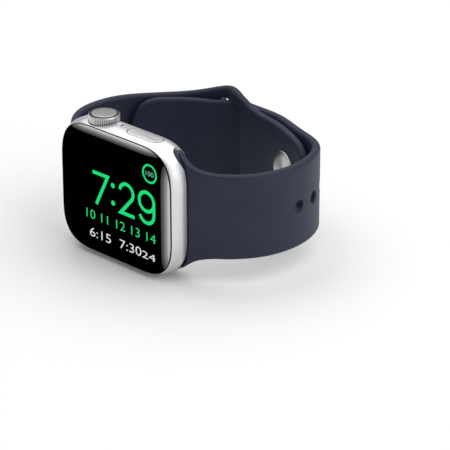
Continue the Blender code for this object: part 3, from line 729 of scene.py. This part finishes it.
def make_back(plate_material, crystal_material, steel):
    edge = 0.12 * MM
    outline = [rounded_outline(BACK_PLATE_HALF[0] - grow, BACK_PLATE_HALF[1] - grow, 8 * MM - grow)
               for grow in (0.0, 0.0, edge)]
    depths = (CASE_DEPTH - BACK_PLATE_DEPTH, CASE_DEPTH - edge, CASE_DEPTH)
    rings = [[(x, y, z) for x, z in ring] for ring, y in zip(outline, depths)]
    plate = skin("back_plate", rings)
    hole = turned("crystal_hole", [(0, 0.0), (12.3 * MM, 0.0), (12.3 * MM, 1.1 * MM), (13 * MM, 1.8 * MM),
                                   (0, 1.8 * MM)],
                  (0, 7.2 * MM, 0), (0, 1, 0), 128)
    boolean(plate, [hole])
    show(smooth(plate), plate_material, "case", "ceramic", "back_cover")
    dome = [(11.35 * MM * math.sin(0.5 * math.pi * k / 24),
             8.5 * MM + 0.64 * MM * math.cos(0.5 * math.pi * k / 24)) for k in range(25)]
    crystal = turned("sensor_dome", [(0, 7.7 * MM)] + dome + [(11.35 * MM, 7.7 * MM)], (0, 0, 0), (0, 1, 0),
                     128)
    show(smooth(crystal, 50), crystal_material, "case", "crystal", "sensor_crystal")
    ring = [(11.5 * MM, 7.65 * MM), (11.5 * MM, 8.42 * MM), (11.6 * MM, 8.5 * MM), (12.05 * MM, 8.5 * MM),
            (12.15 * MM, 8.42 * MM), (12.15 * MM, 7.65 * MM)]
    electrode = turned("electrode", ring, (0, 0, 0), (0, 1, 0), 128)
    show(smooth(electrode), steel, "case", "steel", "electrode_ring")


# ---- crown and side button -------------------------------------------------
RIDGES = 54
RIDGE_DEPTH = 0.22 * MM


def make_crown(metal, cap_metal, dark):
    shoulder = [(3.87 - 0.34 * (1 - math.cos(turn)), 18.2 + 0.52 * math.sin(turn), 0.0)
                for turn in (0.12, 0.35, 0.6, 0.85, 1.1, 1.35, 1.57)]
    rows = [(3.0, 16.5, 0.0), (3.62, 16.5, 0.0), (3.76, 16.54, 0.3), (3.84, 16.64, 0.7), (3.87, 16.76, 1.0),
            (3.87, 17.2, 1.0), (3.87, 17.7, 1.0), (3.87, 18.1, 1.0), (3.865, 18.2, 0.6)] + shoulder
    rows += [(3.52, 18.72, 0.0), (3.5, 18.69, 0.0), (3.5, 18.2, 0.0), (3.0, 18.2, 0.0)]
    around = RIDGES * 8
    rings = []
    for radius, z, groove in rows:
        ring = []
        for k in range(around):
            turn = 2 * math.pi * k / around
            wave = 0.5 - 0.5 * math.cos(RIDGES * turn)
            reach = radius * MM - groove * RIDGE_DEPTH * wave ** 1.5
            ring.append((CROWN_X + reach * math.cos(turn), CROWN_Y + reach * math.sin(turn), z * MM))
        rings.append(ring)
    knob = skin("ridged_knob", rings)
    show(smooth(knob, 60), metal, "crown", "aluminium", "crown_knob")
    top = CROWN_TOP_Z / MM
    profile = [(0, 18.25), (3.12, 18.25), (3.12, top - 0.2), (3.09, top - 0.13), (3.0, top - 0.085),
               (2.6, top - 0.05), (1.5, top - 0.012), (0, top)]
    cap = turned("polished_cap", [(r * MM, z * MM) for r, z in profile], (CROWN_X, CROWN_Y, 0), (0, 0, 1),
                 128)
    show(smooth(cap, 40), cap_metal, "crown", "steel", "crown_cap")
    band = [(3.11, 18.25), (3.11, 18.66), (3.15, 18.7), (3.45, 18.7), (3.49, 18.66), (3.49, 18.25)]
    ring = turned("crown_inlay", [(r * MM, z * MM) for r, z in band], (CROWN_X, CROWN_Y, 0), (0, 0, 1), 128)
    show(smooth(ring, 40), dark, "crown", "seal", "crown_ring")


def make_microphone(dark):
    """Dark disc just under the mouth of the microphone hole, standing in for the shade inside it."""
    x, y = MICROPHONE
    top = flank_z(y) - 0.12 * MM
    profile = [(0, top - 0.1 * MM), (0.44 * MM, top - 0.1 * MM), (0.44 * MM, top), (0, top)]
    show(smooth(turned("microphone_shade_disc", profile, (x, y, 0), (0, 0, 1), 40)), dark, "case", "seal")


def make_side_button(material):
    edge = 0.12 * MM
    rings = [[(BUTTON_X + x, BUTTON_Y + y, 15.3 * MM) for x, y in stadium(BUTTON_HALF_LENGTH, BUTTON_RADIUS)]]
    for inset, drop in ((0.0, edge), (0.3 * edge, 0.3 * edge), (edge, 0.02 * MM), (0.5 * MM, 0.03 * MM),
                        (1.0 * MM, 0.05 * MM), (1.5 * MM, 0.06 * MM)):
        ring = []
        for x, y in stadium(BUTTON_HALF_LENGTH - inset, BUTTON_RADIUS - inset):
            ring.append((BUTTON_X + x, BUTTON_Y + y, flank_z(BUTTON_Y + y) - drop))
        rings.append(ring)
    button = skin("flush_button", rings, strip_caps=True)
    return show(smooth(button, 50), material, "side_button", "aluminium", "side_button")


# ---- band ------------------------------------------------------------------
class Loop:
    """Natural cubic spline through the band's outline, measured by arc length."""

    def __init__(self, points):
        knots = np.array(points) * MM
        gaps = np.linalg.norm(np.diff(knots, axis=0), axis=1)
        at = np.concatenate([[0], np.cumsum(gaps)])
        count = len(knots)
        lhs = np.eye(count)
        rhs = np.zeros((count, 2))
        for i in range(1, count - 1):
            lhs[i, i - 1:i + 2] = (gaps[i - 1], 2 * (gaps[i - 1] + gaps[i]), gaps[i])
            rhs[i] = 6 * ((knots[i + 1] - knots[i]) / gaps[i] - (knots[i] - knots[i - 1]) / gaps[i - 1])
        bend = np.linalg.solve(lhs, rhs)
        fine = np.linspace(0, at[-1], 6000)
        piece = np.clip(np.searchsorted(at, fine) - 1, 0, count - 2)
        h = gaps[piece][:, None]
        a = (at[piece + 1] - fine)[:, None]
        b = (fine - at[piece])[:, None]
        self.points = ((bend[piece] * a ** 3 + bend[piece + 1] * b ** 3) / (6 * h)
                       + (knots[piece] / h - bend[piece] * h / 6) * a
                       + (knots[piece + 1] / h - bend[piece + 1] * h / 6) * b)
        self.s = np.concatenate([[0], np.cumsum(np.linalg.norm(np.diff(self.points, axis=0), axis=1))])
        self.length = float(self.s[-1])

    def point(self, s):
        s = min(max(s, 0.0), self.length)
        return Vector((float(np.interp(s, self.s, self.points[:, 0])),
                       float(np.interp(s, self.s, self.points[:, 1])), 0))

    def at(self, s):
        """Point on the outer surface and the unit normal into the wrist opening."""
        step = 0.4 * MM
        along = (self.point(s + step) - self.point(s - step)).normalized()
        return self.point(s), Vector((-along.y, along.x, 0))

    def where_x(self, x):
        """Arc length of the far side's point above x."""
        far = [i for i in range(len(self.s)) if self.points[i, 1] > 40 * MM]
        return float(self.s[min(far, key=lambda i: abs(self.points[i, 0] - x))])


BAND = Loop(LOOP)
CROSSING_S = BAND.where_x(CROSSING_X)
MID = 0.5 * STRAP_THICKNESS
INNER_LAYER = STRAP_THICKNESS + LAYER_GAP


def ease(share):
    share = min(max(share, 0.0), 1.0)
    return share * share * (3 - 2 * share)


def crossing_share(s):
    """0 before the slot, 1 after it."""
    return ease((s - CROSSING_S) / CROSSING_RUN + 0.5)


def lug_flare(distance):
    """How much wider than its plain half width the band is, this far from the case."""
    corner = 2.4 * MM * math.exp(-distance / (3.0 * MM)) + 2.0 * MM * math.exp(-distance / (0.6 * MM))
    return corner - ROOT_NARROWING * (1 - ease((distance - ROOT_LENGTH) / ROOT_LENGTH))


def round_tip(distance, length):
    """Share of the full width at a distance from a rounded end."""
    short = min(1.0, max(0.0, 1 - distance / length))
    return (1 - short ** TIP_POWER) ** (1 / TIP_POWER)


def hole_side_section(s):
    """Depth below the outer surface, and half width, of the strap with the holes."""
    width = STRAP_HALF_WIDTH + lug_flare(s) - TAIL_NARROWING * ease((s - CROSSING_S) / TAIL_NARROWING_RUN)
    return MID + INNER_LAYER * crossing_share(s), width * round_tip(TAIL_END - s, TAIL_TIP)


def pin_side_section(s):
    """The same for the strap with the pin, whose slot the other strap passes through."""
    past_hill = s - CROSSING_S + HILL_SHIFT
    run = HILL_RUNS[1] if past_hill > 0 else HILL_RUNS[0]
    width = PIN_SIDE_HALF_WIDTH + lug_flare(BAND.length - s) + HILL_HEIGHT * math.exp(-(past_hill / run) ** 2)
    return MID + INNER_LAYER * (1 - crossing_share(s)), width * round_tip(s - TUCK_END, TUCK_TIP)


def hug_case(s_from_lug, z):
    """How far the strap's root draws back to follow the case's rounded corner."""
    return (CASE_HALF_X - case_end_x(z)) * max(0.0, 1 - s_from_lug / ROOT_LENGTH) ** 2


def strap_place(s, z, depth, side):
    """Point of a strap at an arc length, height and depth below the band's outer surface."""
    outer, inward = BAND.at(s)
    root = s if side > 0 else BAND.length - s
    return Vector((outer.x + inward.x * depth - side * hug_case(root, z), outer.y + inward.y * depth, z))


def strap_profile(half):
    """Heights and half thicknesses across the strap, from one rounded edge to the other."""
    edge = min(MID, half)
    rows = []
    for k in range(9):
        turn = 0.5 * math.pi * k / 8
        rows.append((half - edge + edge * math.cos(turn) ** (2 / EDGE_POWER),
                     MID * math.sin(turn) ** (2 / EDGE_POWER)))
    flat = 12
    rows += [((half - edge) * (1 - k / flat), MID) for k in range(1, flat + 1)]
    return rows + [(-z, thick) for z, thick in rows[-2::-1]]


def strap_ring(s, section, side):
    middle, half = section(s)
    profile = strap_profile(half)
    points = []
    for face, rows in ((-1, profile), (1, profile[-2:0:-1])):
        points += [strap_place(s, z, middle + face * thick, side) for z, thick in rows]
    return points


def strap_stations(start, finish, tip_length):
    """Arc lengths from start to finish, closer together where an end is rounded."""
    root = [start + ROOT_STEP * k for k in range(16)]
    begin = root.pop()
    count = round((finish - begin - tip_length) / STRAP_STEP)
    straight = root + [begin + (finish - tip_length - begin) * k / count for k in range(count)]
    rounds = 26
    tip = [finish - tip_length * (1 - math.sin(0.5 * math.pi * k / rounds)) for k in range(rounds)]
    return straight + tip + [finish - 0.0004 * tip_length]


def hole_cutter(s0):
    """Cutter for one of the strap's holes; it follows the strap's curve and softens both rims."""
    rings = []
    steps = 48
    lean = math.radians(72)
    turns = (0, 0.35, 0.7, 1.0, lean)
    levels = [(HOLE_RIM * (1 - math.cos(turn)), HOLE_RIM * (1 - math.sin(turn))) for turn in turns]
    grow, sink = levels[-1]
    levels.append((grow + (HOLE_OVERSHOOT + sink) * math.tan(lean), -HOLE_OVERSHOOT))
    for face, order in ((-1, levels[::-1]), (1, levels)):
        for grow, sink in order:
            radius = HOLE_RADIUS + grow
            ring = []
            for ds, z in arc(0, 0, radius, radius, 0, 360 * (1 - 1 / steps), steps - 1):
                middle = hole_side_section(s0 + ds)[0]
                ring.append(strap_place(s0 + ds, z, middle + face * (MID - sink), 1))
            rings.append(ring)
    return skin("band_hole", rings)


def slot_cutter():
    """Straight prism through the pin strap where it crosses the other one."""
    outer, inward = BAND.at(CROSSING_S)
    along = Vector((inward.y, -inward.x, 0))
    outline = []
    for k, (sign_s, sign_z) in enumerate(((1, 1), (-1, 1), (-1, -1), (1, -1))):
        outline += arc(sign_s * (SLOT_HALF[0] - SLOT_CORNER), sign_z * (SLOT_HALF[1] - SLOT_CORNER),
                       SLOT_CORNER, SLOT_CORNER, 90 * k, 90 * k + 90, 8)
    rings = []
    for depth in SLOT_DEPTHS:
        middle = outer + inward * depth
        rings.append([(middle.x + along.x * s, middle.y + along.y * s, z) for s, z in outline])
    return skin("band_slot", rings)


def lug_parts(side):
    """The band end's rod, shaped to the case, and its neck."""
    rod = column("lug_rod", (side * LUG_X, LUG_Y), INSERT_RADIUS, -15 * MM, 15 * MM, 72)
    boolean(rod, [case_form("rod_limit", 0.1 * MM)], "INTERSECT")
    ends = (-NECK_HALF_LENGTH, NECK_HALF_LENGTH)
    neck = skin("lug_neck", [[(side * x * MM, y * MM, z) for x, y in NECK_PLAN] for z in ends])
    return [rod, neck]


def latch_pocket(side):
    return block("latch_pocket", (side * LATCH_X - 0.7 * MM, 5.7 * MM, -1.9 * MM),
                 (side * LATCH_X + 0.7 * MM, 8 * MM, 1.9 * MM))


def make_straps(material):
    rings = [strap_ring(s, hole_side_section, 1) for s in strap_stations(0.0, TAIL_END, TAIL_TIP)]
    strap = skin("navy_strap_holes", rings, strip_caps=True)
    boolean(strap, lug_parts(1), "UNION")
    boolean(strap, [latch_pocket(1)] + [hole_cutter(HOLE_FIRST + k * HOLE_PITCH) for k in range(HOLE_COUNT)])
    show(smooth(strap, 38), material, "band", "elastomer", "strap_hole_side")

    back = strap_stations(0.0, BAND.length - TUCK_END, TUCK_TIP)
    rings = [strap_ring(BAND.length - t, pin_side_section, -1) for t in back]
    strap = skin("navy_strap_pin", rings, strip_caps=True)
    boolean(strap, lug_parts(-1), "UNION")
    inner = INNER_LAYER + STRAP_THICKNESS
    outer, inward = BAND.at(PIN_S)
    recess_radius = PLATE_RADIUS + PLATE_CLEARANCE
    recess = turned("plate_recess", [(0, inner - 0.35 * MM), (recess_radius, inner - 0.35 * MM),
                                     (recess_radius, inner + 2 * MM), (0, inner + 2 * MM)],
                    outer, inward, 128)
    stud = turned("stud_hole", [(0, 1.5 * MM), (STUD_HOLE_RADIUS, 1.5 * MM), (STUD_HOLE_RADIUS, 6 * MM),
                                (0, 6 * MM)], outer, inward, 48)
    boolean(strap, [latch_pocket(-1), recess, stud, slot_cutter()])
    show(smooth(strap, 38), material, "band", "elastomer", "strap_pin_side")


def make_pin(steel, plate_steel):
    inner = INNER_LAYER + STRAP_THICKNESS
    outer, inward = BAND.at(PIN_S)
    head = [(0, inner - 0.3 * MM), (1.4 * MM, inner - 0.3 * MM), (1.4 * MM, 0.05 * MM),
            (1.55 * MM, -0.12 * MM), (1.88 * MM, -0.16 * MM), (1.95 * MM, -0.24 * MM), (1.93 * MM, -0.36 * MM),
            (1.8 * MM, -0.55 * MM), (1.5 * MM, -0.7 * MM), (0.9 * MM, -0.81 * MM), (0, -0.85 * MM)]
    show(smooth(turned("stud", head, outer, inward, 96), 50), steel, "band", "steel", "pin_stud")
    rim = [(PLATE_RADIUS - 0.3 * MM * (1 - math.cos(turn)), inner + 0.12 * MM + 0.28 * MM * math.sin(turn))
           for turn in (0, 0.3, 0.6, 0.9, 1.2, 1.5)]
    disc = [(0, inner - 0.22 * MM), (PLATE_RADIUS, inner - 0.22 * MM)] + rim
    disc += [(2.6 * MM, inner + 0.41 * MM), (1.2 * MM, inner + 0.42 * MM), (0, inner + 0.42 * MM)]
    show(smooth(turned("brushed_plate", disc, outer, inward, 128), 40), plate_steel, "band", "steel",
         "pin_plate")


# ---- screen ----------------------------------------------------------------
SCREEN_Y = -GLASS_RISE - 0.012 * MM
INK_DEPTH = 0.02 * MM
STROKE = 0.92
RING_STROKE = 0.52
CAPITAL_RISE = 0.729


def ribbon(name, points, width, closed=False):
    """Flat stroke of even width along points given in millimetres, as a thin closed solid."""
    line = [Vector(point) for point in points]
    count = len(line)
    left, right = [], []
    for i, here in enumerate(line):
        before = line[(i - 1) % count] if closed or i > 0 else None
        after = line[(i + 1) % count] if closed or i < count - 1 else None
        first = (here - before).normalized() if before is not None else (after - here).normalized()
        second = (after - here).normalized() if after is not None else first
        across = Vector((-(first + second).y, (first + second).x)).normalized()
        reach = 0.5 * width / max(0.35, across.dot(Vector((-first.y, first.x))))
        left.append(here + across * reach)
        right.append(here - across * reach)
    rings = []
    for i in range(count):
        ring = [(left[i], 0), (right[i], 0), (right[i], 1), (left[i], 1)]
        rings.append([(p.x * MM, SCREEN_Y - level * INK_DEPTH, p.y * MM) for p, level in ring])
    return skin(name, rings, closed=closed)


def join(name, items):
    """Several flat strokes as one piece."""
    mesh = bpy.data.meshes.new(name)
    work = bmesh.new()
    for item in items:
        work.from_mesh(item.data)
        bpy.data.objects.remove(item, do_unlink=True)
    work.to_mesh(mesh)
    work.free()
    return new_object(name, mesh)


def screen_text(name, figures, left, right, base, cap):
    """A line of figures between two x positions, cap millimetres tall."""
    data = bpy.data.curves.new(name, "FONT")
    data.body = figures
    data.size = 1.0
    data.resolution_u = 6
    data.offset = -0.004
    text = new_object(name, data)
    bpy.context.view_layer.update()
    graph = bpy.context.evaluated_depsgraph_get()
    mesh = bpy.data.meshes.new_from_object(text.evaluated_get(graph))
    bpy.data.objects.remove(text, do_unlink=True)
    work = bmesh.new()
    work.from_mesh(mesh)
    low = min(v.co.x for v in work.verts)
    high = max(v.co.x for v in work.verts)
    stretch = (right - left) / (high - low)
    rise = cap / CAPITAL_RISE
    for v in work.verts:
        x = left + (v.co.x - low) * stretch
        v.co = Vector((x * MM, SCREEN_Y - INK_DEPTH, (base + v.co.y * rise) * MM)) + ORIGIN
    bmesh.ops.remove_doubles(work, verts=work.verts, dist=1e-7)
    work.to_mesh(mesh)
    work.free()
    return new_object(name, mesh)


def make_screen(green, white, pale):
    """The lit readout, in plain numbers only."""
    seven = ribbon("seven", [(-6.65, 5.5), (-1.35, 5.5), (-5.55, -2.75)], STROKE)
    dots = []
    for height in (3.85, -0.75):
        outline = arc(0.42, height, 0.66, 0.66, 0, 345, 23)
        dots.append(skin("dot", [[(x * MM, SCREEN_Y - level * INK_DEPTH, z * MM) for x, z in outline]
                                 for level in (0, 1)]))
    two = ribbon("two", arc(5.15, 3.35, 2.3, 2.2, 172, -38, 30) + [(3.1, -2.3), (7.85, -2.3)], STROKE)
    bowl = ribbon("nine_bowl", arc(12.05, 3.1, 2.5, 2.45, 0, 350, 35), STROKE, True)
    tail = arc(12.05, 0.2, 2.5, 2.6, 0, -158, 24)
    stem = ribbon("nine_stem", [(14.55, 3.1)] + tail, STROKE)
    show(join("screen_time", [seven, *dots, two, bowl, stem]), green, "case", "display")
    ring = ribbon("ring", arc(13.2, 10.65, 2.2, 2.2, 0, 352, 44), RING_STROKE, True)
    ring.name = "screen_ring"
    show(ring, green, "case", "display")
    show(screen_text("screen_level", "100", 11.9, 14.55, 10.0, 1.3), pale, "case", "display")
    show(screen_text("screen_date", "10 11 12 13 14", -9.2, 15.0, -7.15, 2.5), green, "case", "display")
    show(screen_text("screen_alarm", "6:15  7:30", -8.1, 10.0, -11.95, 2.5), white, "case", "display")
    show(screen_text("screen_alarm_half", "24", 10.2, 14.85, -11.95, 2.0), white, "case", "display")


# ---- carried-over pieces ---------------------------------------------------
def paint_frame_nodes(paints):
    """Gives each CAD node that still shows the material of its slot."""
    for row in frame["record"]["subparts"]:
        node = frame["nodes"][row["node"]]
        if node.hide_render:
            continue
        node.data.materials.clear()
        node.data.materials.append(paints[row["material_slot"]])
        node.data.shade_smooth()


add_camera()
add_floor()
add_lights()
METAL = blasted_aluminium()
STEEL = satin_steel()
SEAL = seal_rubber()
GLASS = black_glass()
CERAMIC = pale_ceramic()
CRYSTAL = dark_crystal()
NAVY = navy_elastomer()
make_case(METAL)
make_glass(GLASS, edge_reflection_glass())
make_back(CERAMIC, CRYSTAL, STEEL)
make_crown(valley_shaded_metal(3.62 * MM, 3.87 * MM), satin_steel("cap_metal", (0.40, 0.40, 0.41), (0.3, 0.4)), SEAL)
make_microphone(SEAL)
make_side_button(METAL)
make_straps(NAVY)
make_pin(STEEL, radial_steel())
make_screen(lit_pixels("green_pixels", (0.012, 0.77, 0.19), 1.0),
            lit_pixels("white_pixels", (0.78, 0.78, 0.8), 1.0),
            lit_pixels("pale_pixels", (0.25, 0.75, 0.45), 0.8))
paint_frame_nodes({
    "aluminium": METAL, "glass": GLASS, "display": GLASS, "elastomer": NAVY, "steel": STEEL,
    "ceramic": CERAMIC,
    "crystal": CRYSTAL, "seal": SEAL, "copper": bare_copper(),
    "board": moulded("solder_mask", (0.01, 0.06, 0.03), (0.02, 0.10, 0.05)),
    "module": moulded("dark_module", (0.05, 0.05, 0.055), (0.09, 0.09, 0.095)),
    "cell": moulded("battery_foil", (0.08, 0.08, 0.09), (0.12, 0.12, 0.13), (0.25, 0.4))})
